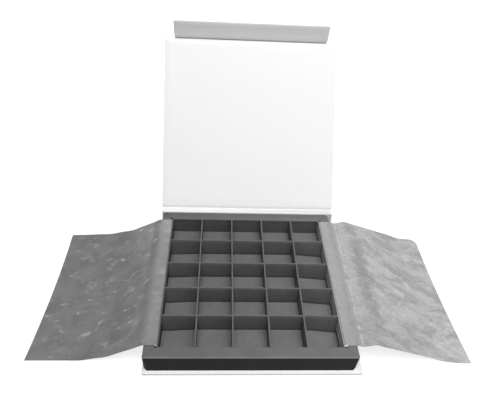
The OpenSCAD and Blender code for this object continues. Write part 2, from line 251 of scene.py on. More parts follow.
def thicken(obj, thickness, offset=-1):
    """A thickness for a bare face, behind it, or to both sides where the offset is 0."""
    solid = obj.modifiers.new("thickness", "SOLIDIFY")
    solid.thickness = thickness * MM
    solid.offset = offset


def rounded(points, radius):
    """A path with its inner corners rounded off."""
    path = [points[0]]
    for a, b, c in zip(points, points[1:], points[2:]):
        a, b, c = Vector(a), Vector(b), Vector(c)
        cut = min(radius, (a - b).length * 0.45, (c - b).length * 0.45)
        p, q = b + (a - b).normalized() * cut, b + (c - b).normalized() * cut
        for k in range(CORNER_STEPS + 1):
            t = k / CORNER_STEPS
            path.append(tuple((1 - t) ** 2 * p + 2 * t * (1 - t) * b + t * t * q))
    path.append(points[-1])
    return path


def paper_section(path, thickness):
    """The closed section of a paper that follows a path."""
    path = np.array(path, float)
    ahead = np.gradient(path, axis=0)
    ahead /= np.linalg.norm(ahead, axis=1)[:, None]
    side = np.stack([-ahead[:, 1], ahead[:, 0]], axis=1) * thickness / 2
    return np.concatenate([path + side, (path - side)[::-1]])


def ribbon(name, path, thickness, x0, x1, material, slot):
    """A paper strip along x whose section follows the path of (y, z)."""
    section = paper_section(path, thickness)
    rings = [[(x0 + (x1 - x0) * i / RIBBON_CUTS, y, z) for y, z in section] for i in range(RIBBON_CUTS + 1)]
    return piece(name, *stacked(rings), material, slot)


# Materials

def add_node(tree, kind, inputs=None, **settings):
    """A new node with its settings, and with numbers or other nodes' outputs in its inputs."""
    made = tree.nodes.new(kind)
    for key, value in settings.items():
        setattr(made, key, value)
    for key, value in (inputs or {}).items():
        if isinstance(value, bpy.types.NodeSocket):
            tree.links.new(value, made.inputs[key])
        else:
            made.inputs[key].default_value = value
    return made


def grey(level):
    return (level, level, level, 1)


class Surface:
    """A material whose colour and bump come from nodes."""

    def __init__(self, name, roughness, specular, metallic=0.0):
        self.material = bpy.data.materials.new(name)
        self.material.use_nodes = True
        self.tree = self.material.node_tree
        self.shader = self.tree.nodes["Principled BSDF"]
        self.shader.inputs["Roughness"].default_value = roughness
        self.shader.inputs["Specular IOR Level"].default_value = specular
        self.shader.inputs["Metallic"].default_value = metallic

    def node(self, kind, inputs=None, **settings):
        return add_node(self.tree, kind, inputs, **settings)

    def place(self, squeeze=1.0, turn=0.0, uv=False):
        """Coordinates in metres, squeezed across the direction that lies at the turn (in degrees) to x."""
        source = self.node("ShaderNodeTexCoord").outputs["UV" if uv else "Object"]
        inputs = {"Vector": source, "Scale": (1, 1 / squeeze, 1), "Rotation": (0, 0, math.radians(turn))}
        return self.node("ShaderNodeMapping", inputs, vector_type="TEXTURE").outputs["Vector"]

    def split(self, output):
        """The x, y and z of a coordinate."""
        source = self.node("ShaderNodeTexCoord").outputs[output]
        parts = self.node("ShaderNodeSeparateXYZ", {"Vector": source})
        return parts.outputs["X"], parts.outputs["Y"], parts.outputs["Z"]

    def math(self, operation, first, second=0.0):
        return self.node("ShaderNodeMath", {0: first, 1: second}, operation=operation).outputs[0]

    def product(self, *values):
        result = values[0]
        for value in values[1:]:
            result = self.math("MULTIPLY", result, value)
        return result

    def gap(self, value, centre):
        """Distance of a value from the centre."""
        return self.math("ABSOLUTE", self.math("SUBTRACT", value, centre))

    def band(self, value, start, end, low=0.0, high=1.0):
        """A soft step from low at the start to high at the end."""
        inputs = {"Value": value, "From Min": start, "From Max": end, "To Min": low, "To Max": high}
        return self.node("ShaderNodeMapRange", inputs, interpolation_type="SMOOTHSTEP").outputs["Result"]

    def line(self, value, centre, half):
        """One on a line at the centre, fading to nothing at half its width to each side."""
        return self.band(self.gap(value, centre), 0.0, half, 1.0, 0.0)

    def fade(self, amount, first, second):
        """A number between the first and the second."""
        return self.node("ShaderNodeMix", {0: amount, 2: first, 3: second}, data_type="FLOAT").outputs[0]

    def mix(self, amount, first, second):
        """A colour between the first and the second."""
        return self.node("ShaderNodeMix", {0: amount, 6: first, 7: second}, data_type="RGBA").outputs[2]

    def noise(self, where, scale, detail, roughness=0.55, distortion=0.0):
        inputs = {"Vector": where, "Scale": scale, "Detail": detail, "Roughness": roughness,
                  "Distortion": distortion}
        return self.node("ShaderNodeTexNoise", inputs).outputs["Fac"]

    def ramp(self, value, *stops):
        """A colour ramp between two stops, each a position with a grey or a colour."""
        made = self.node("ShaderNodeValToRGB", {"Fac": value})
        for element, (position, tone) in zip(made.color_ramp.elements, stops):
            element.position = position
            element.color = (*tone, 1) if isinstance(tone, tuple) else grey(tone)
        return made.outputs["Color"]

    def bump(self, *layers):
        """Bump from (height, distance in metres, strength) layers."""
        normal = None
        for height, distance, strength in layers:
            inputs = {"Height": height, "Distance": distance, "Strength": strength}
            if normal is not None:
                inputs["Normal"] = normal
            normal = self.node("ShaderNodeBump", inputs).outputs["Normal"]
        self.tree.links.new(normal, self.shader.inputs["Normal"])

    def colour(self, socket):
        self.tree.links.new(socket, self.shader.inputs["Base Color"])

    def rough(self, socket):
        self.tree.links.new(socket, self.shader.inputs["Roughness"])


def white_paper():
    s = Surface("white paper", 0.5, 0.35)
    here = s.place()
    fibre = s.noise(here, 900, 6, 0.6)
    cloud = s.noise(here, 22, 3, 0.5)
    fine = s.ramp(fibre, (0.3, (0.852, 0.854, 0.856)), (0.7, (0.892, 0.893, 0.892)))
    broad = s.ramp(cloud, (0.3, (0.862, 0.864, 0.866)), (0.7, (0.89, 0.89, 0.888)))
    s.colour(s.mix(0.5, fine, broad))
    s.rough(s.ramp(cloud, (0.3, 0.44), (0.7, 0.56)))
    s.bump((cloud, 0.0004, 0.25), (fibre, 0.00004, 0.35))
    return s.material


def hinge_paper():
    """White paper, a little grey and creased in the groove, and on the strip below it greyer, more so to the right:
    painted shade.
    """
    s = Surface("hinge paper", 0.6, 0.25)
    here = s.place()
    fibre = s.noise(here, 900, 6, 0.6)
    crease = s.noise(s.place(12), 160, 3, 0.6)
    x, _, z = s.split("Object")
    patchy = s.product(s.band(fibre, 0.3, 0.7, 0.97, 1.02), s.band(crease, 0.3, 0.7, 0.97, 1.02))
    groove = s.band(z, (HINGE_Z + 0.5) * MM, (HINGE_Z + 1.5) * MM)
    # Painted shade: the strip below the groove greyer than the white paper, and greyer to the right
    strip = s.band(x, -0.09, 0.09, 0.87, 0.72)
    s.colour(s.product(s.fade(groove, strip, 0.88), patchy))
    s.bump((crease, 0.0002, 0.3), (fibre, 0.00004, 0.35))
    return s.material


def greyboard():
    s = Surface("greyboard", 0.9, 0.2)
    here = s.place()
    fleck = s.noise(here, 1400, 5, 0.65)
    s.colour(s.ramp(fleck, (0.3, (0.27, 0.255, 0.235)), (0.7, (0.40, 0.38, 0.35))))
    s.bump((fleck, 0.00008, 0.5))
    return s.material


def dark_card(name, side, top, outer, roughness, specular, foot=0.0):
    """Dark card: a tone each for its sides, its upper faces and the tray's outer walls, the upper faces lighter as
    painted sheen and the outer walls darker as painted shade;
    painted highlights along folds, and painted shade below the foot, a height in millimetres over the tray's floor."""
    s = Surface(name, roughness, specular)
    here = s.place()
    fibre = s.noise(here, 1100, 5, 0.65)
    cloud = s.noise(here, 60, 4, 0.55)
    scuff = s.noise(here, 300, 8, 0.7, 0.6)
    x, y, z = s.split("Object")
    # How far a point lies from the tray's middle, and how far the rim's inner and outer edges do
    across = s.gap(x, TRAY_X * MM)
    along = s.math("SUBTRACT", y, TRAY_Y * MM)
    reach = s.math("ABSOLUTE", along)
    inner_x, inner_y = INNER_W / 2 * MM, INNER_D / 2 * MM
    edge_x, edge_y = (INNER_W / 2 + RIM_W) * MM, (INNER_D / 2 + RIM_W) * MM
    starts, full = 0.0030, 0.0022
    outside = s.math("MAXIMUM", s.band(across, edge_x - starts, edge_x - full),
                     s.band(reach, edge_y - starts, edge_y - full))
    # Upper faces take the top tone, lighter than the sides: painted sheen. The tray's outer walls take the outer
    # tone, far darker: painted shade.
    up = s.band(s.split("Normal")[2], 0.45, 0.95)
    tone = s.fade(up, s.fade(outside, side, outer), top)
    # Painted highlight along the rim's outer fold, on the wall just below it
    below_rim = s.band(z, (RIM_Z - 1.1) * MM, (RIM_Z - 0.5) * MM)
    fold_highlight = s.product(outside, s.band(up, 0.0, 0.6, 1.0, 0.0), below_rim)
    tone = s.fade(fold_highlight, tone, top * 1.5)
    # Back rim: a faint darker line along a crease, and a paler strip along the inner fold, a painted highlight
    tone = s.fade(s.product(up, s.line(along, inner_y + 0.0062, 0.0004), 0.35), tone, top * 0.5)
    tone = s.fade(s.product(up, s.line(along, inner_y + 0.0009, 0.0013)), tone, top * 1.2)
    # Mitred joints at the back corners
    off_mitre = s.math("SUBTRACT", s.math("SUBTRACT", across, inner_x), s.math("SUBTRACT", along, inner_y))
    on_rim = s.band(along, inner_y, inner_y + 0.001)
    tone = s.fade(s.product(up, s.line(off_mitre, 0.0, 0.0007), on_rim), tone, top * 0.45)
    # Painted shade in small open notches at the rim's inner corners
    notch = 0.0101
    off_notch = s.math("SQRT", s.math(
        "ADD", s.math("POWER", s.math("SUBTRACT", across, edge_x - notch), 2.0),
        s.math("POWER", s.math("SUBTRACT", reach, edge_y - notch), 2.0)))
    tone = s.fade(s.product(up, s.band(off_notch, 0.0005, 0.0011, 1.0, 0.0)), tone, 0.01)
    # Painted shade near the floor: nearly black below the foot
    if foot:
        low = (FLOOR_Z + foot) * MM
        tone = s.fade(s.band(z, low, low + 0.0012, 1.0, 0.0), tone, 0.03)
    texture = s.product(s.band(fibre, 0.28, 0.72, 0.88, 1.12), s.band(cloud, 0.25, 0.75, 0.92, 1.08))
    # Painted light: the card lighter towards the right
    painted_light_gradient = s.band(x, -0.09, 0.09, 0.92, 1.09)
    s.colour(s.product(tone, painted_light_gradient, texture, s.band(scuff, 0.62, 0.8, 1.0, 1.25)))
    s.rough(s.band(cloud, 0.3, 0.75, roughness - 0.06, roughness + 0.08))
    s.bump((cloud, 0.0003, 0.3), (fibre, 0.00005, 0.5))
    return s.material


def magnet_steel():
    s = Surface("nickel plate", 0.3, 0.5, 1.0)
    streak = s.noise(s.place(14), 500, 3, 0.6)
    s.colour(s.ramp(streak, (0.3, (0.48, 0.48, 0.5)), (0.7, (0.66, 0.66, 0.68))))
    s.rough(s.ramp(streak, (0.3, 0.24), (0.7, 0.4)))
    s.bump((streak, 0.00002, 0.3))
    return s.material


def suede(name):
    """A soft surface, and its flat coordinates: x outwards from the fold over the rim, y along the rim."""
    s = Surface(name, 0.85, 0.2)
    s.shader.inputs["Sheen Weight"].default_value = 0.08
    s.shader.inputs["Sheen Roughness"].default_value = 0.5
    x, y, _ = s.split("UV")
    return s, x, y


def left_suede():
    """Soft sheet, mid grey, darker than the right sheet as painted shade: cloudy, with scattered pale flecks, fine
    slanting grain and a paler part on the rim, painted sheen.
    """
    s, x, y = suede("left suede")
    # On this sheet the flat y runs from the back edge to the front
    back = -0.078
    cloud = s.noise(s.place(1.4, 35, uv=True), 42, 4, 0.55, 0.4)
    blotch = s.noise(s.place(1.5, 24, uv=True), 78, 4, 0.55, 0.3)
    spot = s.noise(s.place(1.7, 24, uv=True), 98, 2, 0.5, 0.2)
    grain = s.noise(s.place(4.5, 42, uv=True), 620, 3, 0.65)
    fibre = s.noise(s.place(uv=True), 1500, 3, 0.6)
    tone = s.band(cloud, 0.32, 0.66, 0.139, 0.178)
    # Pale blotches with brighter flecks in them, fewer towards the outer edge
    near = s.band(x, 0.055, 0.100, 1.0, 0.6)
    tone = s.fade(s.product(s.band(blotch, 0.53, 0.74), near, 0.6), tone, 0.29)
    fleck = s.product(s.band(spot, 0.55, 0.74), s.band(blotch, 0.48, 0.62), near, 0.9)
    tone = s.fade(fleck, tone, 0.39)
    # The paler part on the rim, a painted sheen, with a soft uneven end
    uneven = s.math("ADD", x, s.band(blotch, 0.3, 0.7, -0.0035, 0.0035))
    rim = s.product(s.band(uneven, 0.0045, 0.0185, 1.0, 0.0), s.band(y, back, -0.03, 1.0, 0.72))
    rim_tone = s.product(s.fade(s.band(blotch, 0.3, 0.7), 0.25, 0.34), s.band(y, -0.02, 0.08, 1.0, 0.84),
                         s.band(y, back, -0.045, 1.13, 1.0))
    tone = s.fade(rim, tone, rim_tone)
    # Painted light: paler just past the bend, and on the steep part, most at the back
    steep = s.product(s.band(x, 0.012, 0.022), s.band(x, 0.034, 0.055, 1.0, 0.0))
    tone = s.product(tone, s.fade(s.line(x, 0.0205, 0.0085), 1.0, 1.13),
                     s.fade(steep, 1.0, s.band(y, back, 0.0, 1.45, 1.12)))
    s.colour(s.product(tone, s.band(grain, 0.25, 0.75, 0.86, 1.14), s.band(fibre, 0.25, 0.75, 0.93, 1.07)))
    s.bump((cloud, 0.0004, 0.25), (blotch, 0.00025, 0.35), (grain, 0.00006, 0.6))
    return s.material


def right_suede():
    """Soft sheet, pale grey: long drifts and streaks, a painted highlight along the crease past the rim, painted
    light on the band before the hollow and painted shade in the hollow beyond it.
    """
    s, x, y = suede("right suede")
    # On this sheet the flat y runs from the front edge to the back
    front, bend = -0.078, 0.0165
    drift = s.noise(s.place(2.1, -22, uv=True), 36, 5, 0.6, 0.7)
    streak = s.noise(s.place(1.7, -20, uv=True), 100, 6, 0.66, 0.9)
    speck = s.noise(s.place(1.6, -20, uv=True), 260, 4, 0.65, 0.6)
    grain = s.noise(s.place(2.0, -20, uv=True), 800, 3, 0.65)
    tone = s.band(drift, 0.36, 0.64, 0.31, 0.44)
    pale_streak = s.product(s.band(streak, 0.52, 0.68), s.band(drift, 0.42, 0.56, 0.35, 1.0), 0.8)
    tone = s.fade(pale_streak, tone, 0.56)
    tone = s.fade(s.product(s.band(streak, 0.46, 0.32), 0.35), tone, 0.27)
    tone = s.fade(s.product(s.band(speck, 0.54, 0.68), 0.5), tone, 0.58)
    tone = s.fade(s.product(s.band(speck, 0.44, 0.32), 0.35), tone, 0.27)
    # Painted shade in the hollow on the slope, strongest in the middle of its length
    ragged = s.math("ADD", x, s.band(streak, 0.3, 0.7, -0.003, 0.003))
    hollow_shade = s.product(s.line(ragged, 0.0335, 0.0140),
                       s.band(s.math("ABSOLUTE", y), 0.020, 0.078, 1.0, 0.25),
                       s.band(speck, 0.3, 0.65, 1.0, 0.45))
    tone = s.fade(hollow_shade, tone, 0.235)
    # Painted light on the band between the crease and the hollow
    painted_light_band = s.product(s.band(ragged, 0.0160, 0.0185), s.band(ragged, 0.0225, 0.0290, 1.0, 0.0),
                          s.band(y, front, -0.02, 0.35, 1.0))
    tone = s.fade(s.product(painted_light_band, 0.8), tone, s.fade(s.band(speck, 0.35, 0.65), 0.385, 0.47))
    # The part on the rim, darker along its outer half
    rim = s.band(x, 0.0135, bend, 1.0, 0.0)
    outer_darkening = s.product(s.line(ragged, 0.0115, 0.0045), s.band(streak, 0.35, 0.6))
    rim_tone = s.fade(s.product(outer_darkening, 0.8), s.fade(s.band(streak, 0.3, 0.7), 0.33, 0.385), 0.27)
    tone = s.fade(rim, tone, rim_tone)
    # Painted highlight along the crease, broken and a little crooked
    patchy = s.band(s.noise(s.place(uv=True), 140, 4, 0.65), 0.42, 0.62, 0.05, 1.0)
    crooked = s.band(s.noise(s.place(uv=True), 60, 2), 0.3, 0.7, -0.0006, 0.0006)
    crease = s.line(s.math("ADD", x, crooked), bend, 0.0007)
    tone = s.fade(s.product(crease, patchy), tone, 0.62)
    # Painted light and shade: darker towards the front, and along the outer edge lighter towards the front
    along = s.fade(s.band(x, 0.075, 0.1), s.band(y, -0.079, -0.01, 0.88, 0.98),
                   s.band(y, -0.079, -0.04, 1.08, 0.955))
    s.colour(s.product(tone, along, s.band(grain, 0.25, 0.75, 0.94, 1.06)))
    s.bump((drift, 0.0005, 0.25), (streak, 0.0003, 0.4), (speck, 0.0001, 0.5), (grain, 0.00005, 0.5))
    return s.material


WHITE = white_paper()
HINGE_WHITE = hinge_paper()
BOARD = greyboard()
# The card's outer walls far darker and its upper faces lighter than its sides: painted shade and painted sheen
CARD = dark_card("dark card", side=0.122, top=0.137, outer=0.018, roughness=0.55, specular=0.07)
FLOOR_CARD = dark_card("dark floor card", side=0.168, top=0.168, outer=0.168, roughness=0.7, specular=0.1)
# The side cards are paler copies of the dark card, painted light, the right one much paler; below their feet,
# painted shade
LEFT_CARD = dark_card("dark card at the left wall", side=0.17, top=0.17, outer=0.17, roughness=0.6,
                      specular=0.07, foot=9.0)
RIGHT_CARD = dark_card("dark card at the right wall", side=0.40, top=0.40, outer=0.40, roughness=0.6,
                       specular=0.07, foot=3.2)
# A paler copy of the dark card for the front fold: painted highlight
FOLD_CARD = dark_card("dark card at the fold", side=0.17, top=0.17, outer=0.17, roughness=0.5, specular=0.12)
STEEL = magnet_steel()
LEFT_SUEDE = left_suede()
RIGHT_SUEDE = right_suede()
SLOTS = {"white_paper": WHITE, "greyboard": BOARD, "dark_card": CARD, "magnet": STEEL,
         "left_sheet": LEFT_SUEDE, "right_sheet": RIGHT_SUEDE}

for row in frame["record"]["subparts"]:
    node = frame["nodes"][row["node"]]
    if node.material_slots:
        for holder in node.material_slots:
            holder.material = SLOTS[row["material_slot"]]
    else:
        node.data.materials.append(SLOTS[row["material_slot"]])

frame["nodes"]["left_side_card"].material_slots[0].material = LEFT_CARD
frame["nodes"]["right_side_card"].material_slots[0].material = RIGHT_CARD

# Case: covers and linings
for name, body, w, y0, y1, turn, margin, place in (
    ("base", "case_and_tray", CASE_W, FRONT, BASE_BACK, TURN_IN, MARGIN, None),
    ("spine", "case_and_tray", CASE_W, WRAP_T, SPINE_TOP, SPINE_TURN, MARGIN / 2, SPINE_FRAME),
    ("lid", "lid", CASE_W, HINGE_GROOVE, HINGE_GROOVE + LID_L, TURN_IN, MARGIN, LID_FRAME),
    ("flap", "flap", FLAP_W, FLAP_GROOVE, FLAP_GROOVE + FLAP_L, FLAP_TURN, MARGIN / 2, FLAP_FRAME),
):
    outer = cover(f"{name}_cover", w, y0, y1, turn, place)
    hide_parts(f"{name}_wrap")
    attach(outer, body)
    inner = lining(f"{name}_lining", w, y0, y1, turn, margin, place)
    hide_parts(f"{name}_liner")
    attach(inner, body)

# Paper over the outside of the lid hinge, from the spine to the lid
lid_leaf = rounded([
    (BACK - OFF_FACE, 12.0), (BACK - OFF_FACE, HINGE_Z - 0.35),
    in_frame(LID_FRAME, HINGE_GROOVE - 0.1, OFF_FACE), in_frame(LID_FRAME, HINGE_GROOVE + 9, OFF_FACE)], 1.2)
half = CASE_W / 2 - HINGE_INSET
lid_hinge = ribbon("lid_hinge_paper", lid_leaf, HINGE_PAPER_T, -half, half, WHITE, "white_paper")
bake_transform(lid_hinge)

# Lining over its inside, from the spine's inner face through the groove to the lid's
lid_inner = rounded([
    (BACK - PANEL_T - 0.02, 20.5), (BACK - PANEL_T + 0.1, SPINE_TOP + 0.08), (BACK - 0.2, SPINE_TOP + 0.1),
    (BACK + 1.0, HINGE_Z + 0.52), in_frame(LID_FRAME, HINGE_GROOVE - 2.2, 0.9),
    in_frame(LID_FRAME, HINGE_GROOVE + 0.2, TURNED_T + 0.1),
    in_frame(LID_FRAME, HINGE_GROOVE + 8, TURNED_T + 0.08)], 1.4)
half = CASE_W / 2 - LINING_INSET
lid_lining = ribbon("lid_hinge_lining", lid_inner, HINGE_LINING_T, -half, half, HINGE_WHITE, "white_paper")
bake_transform(lid_lining)

# Paper over the outside of the flap hinge, from the lid to the flap
flap_leaf = rounded([
    in_frame(LID_FRAME, CASE_D - 9, OFF_FACE), in_frame(LID_FRAME, CASE_D, OFF_FACE),
    in_frame(FLAP_FRAME, FLAP_GROOVE + 4, OFF_FACE)], 1.0)
half = FLAP_W / 2 - HINGE_INSET
flap_hinge = ribbon("flap_hinge_paper", flap_leaf, HINGE_PAPER_T, -half, half, WHITE, "white_paper")
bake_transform(flap_hinge)


# Tray

def uneven_floor():
    """Points of the tray's floor, its uneven top first and then its underside."""
    rng = np.random.default_rng(7)
    xs = np.linspace(-INNER_W / 2, INNER_W / 2, FLOOR_GRID)
    ys = np.linspace(-INNER_D / 2, INNER_D / 2, FLOOR_GRID)
    gx, gy = np.meshgrid(xs, ys, indexing="ij")
    wave = np.zeros_like(gx)
    for _ in range(FLOOR_WAVES):
        angle, length, phase = rng.uniform(0, math.pi), rng.uniform(24, 60), rng.uniform(0, 2 * math.pi)
        wave += np.cos((gx * math.cos(angle) + gy * math.sin(angle)) * 2 * math.pi / length + phase)
    wave *= FLOOR_WAVE / np.abs(wave).max()
    low_sides = 0.12 * smoothstep((np.abs(gx) - 40) / 40)
    top = FLOOR_Z + FLOOR_RISE + wave - low_sides + 0.08 * np.cos(gy * 2 * math.pi / CELL_PITCH)
    top = np.maximum(top, FLOOR_Z + FLOOR_LEAST)
    points = [(TRAY_X + x, TRAY_Y + y, z) for x, y, z in zip(gx.ravel(), gy.ravel(), top.ravel())]
    return points + [(TRAY_X + x, TRAY_Y + y, FLOOR_Z) for x, y in zip(gx.ravel(), gy.ravel())]


def leaning_slat(low, high):
    """The middle face of a cross slat between two corners, with its slots open at the bottom. Its foot stands a
    little forward of its top, most at the side walls."""
    slots = [TRAY_X + (k - 2.5) * CELL_PITCH for k in range(1, 5)]
    edges = [x + side * SLOT_W / 2 for x in slots for side in (-1, 1)]
    # Columns at even steps and at the slots' edges, none of them close beside an edge
    us = np.unique(np.round(np.concatenate([np.linspace(low[0], high[0], SLAT_CUTS), edges]), 4))
    us = us[[not any(abs(u - e) < 0.8 and u not in np.round(edges, 4) for e in edges) for u in us]]
    slot_top = (low[2] + high[2]) / 2 + SLOT_PLAY
    ws = np.concatenate([np.linspace(low[2], slot_top, LAP_ROWS + 1),
                         np.linspace(slot_top, high[2], LAP_ROWS + 1)[1:]])
    aside = np.clip((us - TRAY_X) / (INNER_W / 2), -1, 1)
    wall_lean = np.where(aside > 0, RIGHT_WALL_LEAN, LEFT_WALL_LEAN)
    foot = -SLAT_LEAN - wall_lean * smoothstep((np.abs(aside) - 0.55) / 0.5)
    points, faces = [], []
    for w in ws:
        rise = (w - low[2]) / (high[2] - low[2])
        points += [(u, (low[1] + high[1]) / 2 + f * (1 - rise), w) for u, f in zip(us, foot)]
    for row in range(len(ws) - 1):
        for col in range(len(us) - 1):
            middle = (us[col] + us[col + 1]) / 2
            if row < LAP_ROWS and any(abs(middle - x) < SLOT_W / 2 for x in slots):
                continue
            a = row * len(us) + col
            faces.append([a, a + 1, a + 1 + len(us), a + len(us)])
    return points, faces


floor = piece("cell_floor", uneven_floor(), slab(FLOOR_GRID, FLOOR_GRID), FLOOR_CARD, "dark_card")
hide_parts("tray_floor")
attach(floor, "case_and_tray")

for i in range(1, 5):
    low, high = (np.array(corner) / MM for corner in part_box(f"cross_slat_{i}"))
    slat = piece(f"cross_slat_{i}_card", *leaning_slat(low, high), CARD, "dark_card")
    thicken(slat, SLAT_T, offset=0)
    soften(slat)
    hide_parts(f"cross_slat_{i}")
    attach(slat, "case_and_tray")

# Round fold along the front edge of the rim, in the paler fold card: painted highlight
front_y = TRAY_Y - INNER_D / 2 - RIM_W
fold_path = rounded([(front_y + 0.8, RIM_Z - 0.03), (front_y - 0.12, RIM_Z + 0.02),
                     (front_y - 0.12, RIM_Z - 1.2)], 0.8)
front_fold = ribbon("front_rim_fold", fold_path, FRONT_FOLD_T, TRAY_X - INNER_W / 2 - RIM_W + 0.7,
                    TRAY_X + INNER_W / 2 + RIM_W - 0.7, FOLD_CARD, "dark_card")
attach(front_fold, "case_and_tray")

# Inner fold of the back rim, which droops a little towards the cells
inner_y = TRAY_Y + INNER_D / 2
lip_path = rounded([(inner_y + 3.0, RIM_Z + 0.02), (inner_y - 0.1, RIM_Z - 0.1),
                    (inner_y - 0.5, RIM_Z - 1.7)], 1.0)
fold_lip = ribbon("back_rim_fold", lip_path, BACK_FOLD_T, TRAY_X - INNER_W / 2 + 1.0,
                  TRAY_X + INNER_W / 2 - 1.0, CARD, "dark_card")
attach(fold_lip, "case_and_tray")


# Cover sheets

def turned(points, pivot, angle):
    """Points (x, z) turned about the pivot by an angle for each."""
    c, s = np.cos(angle), np.sin(angle)
    dx, dz = points[..., 0] - pivot[0], points[..., 1] - pivot[1]
    return np.stack([pivot[0] + dx * c - dz * s, pivot[1] + dx * s + dz * c], axis=-1)


def bend_chain(bends):
    """Rest places (x, z) of the bends, from the length along the sheet and the slope in degrees after each."""
    places, x, z, last, slope = [], 0.0, 0.0, 0.0, 0.0
    for at, after in bends:
        x += (at - last) * math.cos(math.radians(slope))
        z -= (at - last) * math.sin(math.radians(slope))
        places.append((x, z))
        last, slope = at, after
    return places


class Sheet:
    """A flexible sheet in its fold frame, x out over the rim. Its zones are where it bends from one flat part to
    the next.
    """

    def __init__(self, side, bends, zones):
        self.side, self.bends, self.zones = side, bends, zones
        self.places = bend_chain(bends)
        self.slopes = [0.0] + [slope for _, slope in bends]

    def part_frame(self, k, s):
        """Places (x, z) of flat lengths s where the sheet follows its part k."""
        if k == 0:
            return np.stack([s, np.zeros_like(s)], axis=-1)
        (x, z), (at, slope) = self.places[k - 1], self.bends[k - 1]
        a = math.radians(slope)
        return np.stack([x + (s - at) * math.cos(a), z - (s - at) * math.sin(a)], axis=-1)

    def ends(self, k):
        """Rest places where the bend k starts and ends."""
        low, high = self.zones[k]
        return (self.part_frame(k, np.array([low]))[0], self.part_frame(k + 1, np.array([high]))[0])

    def bend(self, k, s, rise):
        """Places (x, z) of points at length s and height rise over the sheet, around the bend k."""
        start, end = self.ends(k)
        along = end - start
        a0 = math.radians(self.slopes[k])
        base = self.part_frame(k, s)
        base = base + rise[..., None] * np.array([math.sin(a0), math.cos(a0)])
        total = -math.radians(self.slopes[k + 1] - self.slopes[k])
        low, high = self.zones[k]
        share = smoothstep((s - low) / (high - low))
        for _ in range(BEND_ROUNDS):
            where = turned(base, self.places[k], total * share)
            target = smoothstep(((where - start) @ along) / (along @ along))
            share = 0.5 * share + 0.5 * target
        return turned(base, self.places[k], total * share)

    def world(self, xz, y):
        """Points in millimetres from places (x, z) in the fold frame."""
        x = TRAY_X + self.side * (FOLD_X + xz[..., 0])
        return np.stack([x, y, FOLD_Z + xz[..., 1]], axis=-1)

    def row(self, xz):
        x = TRAY_X + self.side * (FOLD_X + xz[0])
        return (x * MM, 0, (FOLD_Z + xz[1]) * MM)


def sheet_section(name, sheet, k, s0, s1, edge, material, slot):
    """One section of a sheet, from s0 to s1, or to the sheet's own outer edge."""
    rows = max(4, int(round((s1 - s0) / SHEET_STEP)) + 1)
    # Shares of the sheet's width, closer together at both edges
    v = np.linspace(0, 1, SHEET_COLS)
    v = np.concatenate([[0, 0.0015], v[1:-1], np.linspace(v[-2], 1, 8)[1:]])
    s, y = edge(np.linspace(0, 1, rows), v, s0, s1)
    points, uv = [], []
    for level in (1, -1):
        xz = sheet.bend(k, s, np.full_like(s, level * SHEET_T / 2))
        for p, flat_s, flat_y in zip(sheet.world(xz, y).reshape(-1, 3), s.ravel(), y.ravel()):
            points.append(tuple(p))
            uv.append((flat_s * MM, flat_y * MM * sheet.side))
    return piece(name, points, slab(rows, len(v)), material, slot, uv=uv)


def straight_edge(t, v, s0, s1):
    """Flat lengths and world y of a section that ends straight."""
    s = s0 + (s1 - s0) * t[:, None] + 0 * v[None, :]
    y = SHEET_FRONT + (SHEET_BACK - SHEET_FRONT) * v[None, :] + 0 * t[:, None]
    return s, y


def outer_edge(apron_at, length, skew, corner, front_slip, back_slip, bow):
    """The outer part of a sheet: askew, slipped to the front, its outer edge bowed in, its back corner round."""
    def shape(t, v, s0, _):
        end0, end1 = apron_at + length, apron_at + length - skew
        front, back = SHEET_FRONT - front_slip, SHEET_BACK - back_slip
        end = end0 + (end1 - end0) * v - 4 * bow * v * (1 - v)
        over = np.clip(front + (back - front) * v - (back - corner), 0, corner)
        end = end - (corner - np.sqrt(np.maximum(corner ** 2 - over ** 2, 0)))
        s = s0 + (end[None, :] - s0) * t[:, None]
        share = smoothstep((s - apron_at + 12) / (length + 6))
        y_front, y_back = SHEET_FRONT - front_slip * share, SHEET_BACK - back_slip * share
        return s, y_front + (y_back - y_front) * v[None, :]
    return shape


LEFT = Sheet(-1, [(RIM_PART, 27.0), (RIM_PART + 36.0, 13.5), (RIM_PART + 60.0156, 0.0)],
             [(5.0, 20.0), (36.0, 58.5), (60.5, 82.5)])
RIGHT = Sheet(1, [(RIM_PART, 18.0), (16.45, -11.0), (27.75, 19.2), (96.1645, 0.0)],
              [(8.7, 13.8), (14.1, 18.8), (20.0, 35.5), (84.0, 108.3)])
left_edge = outer_edge(apron_at=71.27, length=46.0, skew=4.5, corner=2.0, front_slip=0.0, back_slip=3.0, bow=2.2)
right_edge = outer_edge(apron_at=96.16, length=25.1, skew=5.0, corner=8.0, front_slip=3.0, back_slip=3.0, bow=2.2)

sections = [
    (LEFT, 0, "left_sheet_inner", 0.0, 28.0, straight_edge, "left_rim_part", "left_steep_part",
     ["left_sheet_rim"]),
    (LEFT, 1, "left_sheet_middle", 28.0, 59.5, straight_edge, "left_steep_part", "left_shallow_part",
     ["left_sheet_steep", "left_sheet_shallow"]),
    (LEFT, 2, "left_sheet_outer", 59.5, 117.27, left_edge, "left_shallow_part", "left_table_part",
     ["left_sheet_apron"]),
    (RIGHT, 0, "right_sheet_inner", 0.0, 13.95, straight_edge, "right_rim_part", "right_dip_part",
     ["right_sheet_rim"]),
    (RIGHT, 1, "right_sheet_crease", 13.95, 19.4, straight_edge, "right_dip_part", "right_rise_part",
     ["right_sheet_dip"]),
    (RIGHT, 2, "right_sheet_middle", 19.4, 62.0, straight_edge, "right_rise_part", "right_slope_part",
     ["right_sheet_rise", "right_sheet_slope"]),
    (RIGHT, 3, "right_sheet_outer", 62.0, 121.26, right_edge, "right_slope_part", "right_table_part",
     ["right_sheet_apron"]),
]
